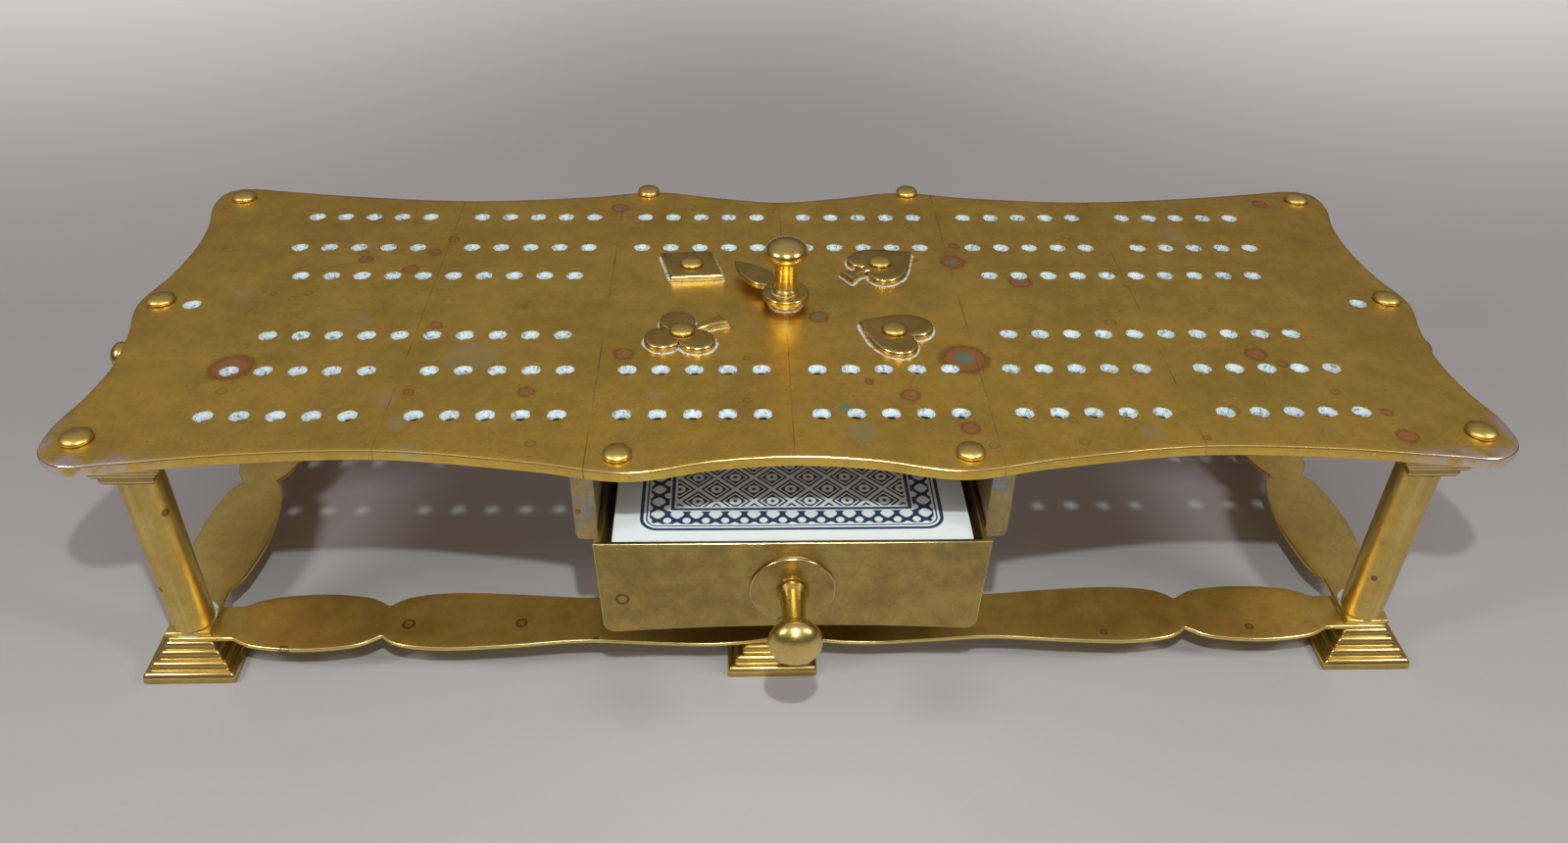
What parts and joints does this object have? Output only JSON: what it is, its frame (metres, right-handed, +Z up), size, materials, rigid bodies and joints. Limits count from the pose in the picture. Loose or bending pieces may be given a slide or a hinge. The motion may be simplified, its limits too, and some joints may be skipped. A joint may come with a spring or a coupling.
{
  "type": "cribbage board",
  "caption": "Brass cribbage board on four columns: scalloped pegging plate, card drawers, peg drawers and a turning trump indicator.",
  "frame": {"origin": "on the table, under the middle of the whole board, with the front drawer as it stands open in the rest pose", "axes": "+X along the board, +Y away from the player at the open drawer, +Z up"},
  "size_m": [0.3774, 0.1922, 0.0959],
  "materials": {
    "plate_brass": "aged satin, olive brown, spotted",
    "column_brass": "aged, lightly polished",
    "cast_brass": "aged casting, worn bright on the edges",
    "strip_brass": "aged satin",
    "dome_brass": "handled and polished",
    "sheet_brass": "aged sheet",
    "grey_brass": "dull, greyed by old solder and dust",
    "card_stock": "linen-finish playing cards"
  },
  "bodies": {
    "board": {"top_plate": "plate_brass", "end_rivet_left": "dome_brass", "end_rivet_right": "dome_brass", "corner_rivet_front_left": "dome_brass", "corner_rivet_front_right": "dome_brass", "corner_rivet_back_left": "dome_brass", "corner_rivet_back_right": "dome_brass", "drawer_rivet_front_left": "dome_brass", "drawer_rivet_front_right": "dome_brass", "drawer_rivet_back_left": "dome_brass", "drawer_rivet_back_right": "dome_brass", "suit_rivet_diamond": "dome_brass", "suit_rivet_club": "dome_brass", "suit_rivet_spade": "dome_brass", "suit_rivet_heart": "dome_brass", "foot_front_left": "cast_brass", "foot_front_right": "cast_brass", "foot_back_left": "cast_brass", "foot_back_right": "cast_brass", "capital_front_left": "cast_brass", "capital_front_right": "cast_brass", "capital_back_left": "cast_brass", "capital_back_right": "cast_brass", "middle_foot_front": "cast_brass", "middle_foot_back": "cast_brass", "suit_diamond": "cast_brass", "suit_club": "cast_brass", "suit_spade": "cast_brass", "suit_heart": "cast_brass", "indicator_boss": "cast_brass", "column_front_left": "column_brass", "column_front_right": "column_brass", "column_back_left": "column_brass", "column_back_right": "column_brass", "stretcher_front": "strip_brass", "stretcher_back": "strip_brass", "stretcher_left": "strip_brass", "stretcher_right": "strip_brass", "peg_channel_left": "sheet_brass", "peg_channel_right": "sheet_brass", "drawer_runner_left": "grey_brass", "drawer_runner_right": "grey_brass"},
    "front_drawer": {"front_tray": "sheet_brass", "front_drawer_face": "sheet_brass", "front_knob_plate": "sheet_brass", "front_drawer_knob": "dome_brass", "card_deck": "card_stock"},
    "back_drawer": {"back_tray": "sheet_brass", "back_drawer_face": "sheet_brass", "back_knob_plate": "sheet_brass", "back_drawer_knob": "dome_brass"},
    "peg_drawer_left": {"peg_tray_left": "sheet_brass", "peg_knob_left": "dome_brass", "peg_left": "dome_brass"},
    "peg_drawer_right": {"peg_tray_right": "sheet_brass", "peg_knob_right": "dome_brass", "peg_right": "dome_brass"},
    "trump_indicator": {"indicator_pointer": "cast_brass", "indicator_knob": "dome_brass", "indicator_nut": "sheet_brass"}
  },
  "joints": [
    {"name": "front_drawer_slide", "type": "slide", "parent": "board", "child": "front_drawer", "axis": [0, -1, 0], "range_m": [-0.0053, 0.049]},
    {"name": "back_drawer_slide", "type": "slide", "parent": "board", "child": "back_drawer", "axis": [0, 1, 0], "range_m": [0, 0.054]},
    {"name": "peg_drawer_left_slide", "type": "slide", "parent": "board", "child": "peg_drawer_left", "axis": [-1, 0, 0], "range_m": [0, 0.045]},
    {"name": "peg_drawer_right_slide", "type": "slide", "parent": "board", "child": "peg_drawer_right", "axis": [1, 0, 0], "range_m": [0, 0.045]},
    {"name": "trump_indicator_turn", "type": "hinge", "parent": "board", "child": "trump_indicator", "pos_m": [0, 0.00265, 0.08], "axis": [0, 0, 1], "continuous": true}
  ]
}
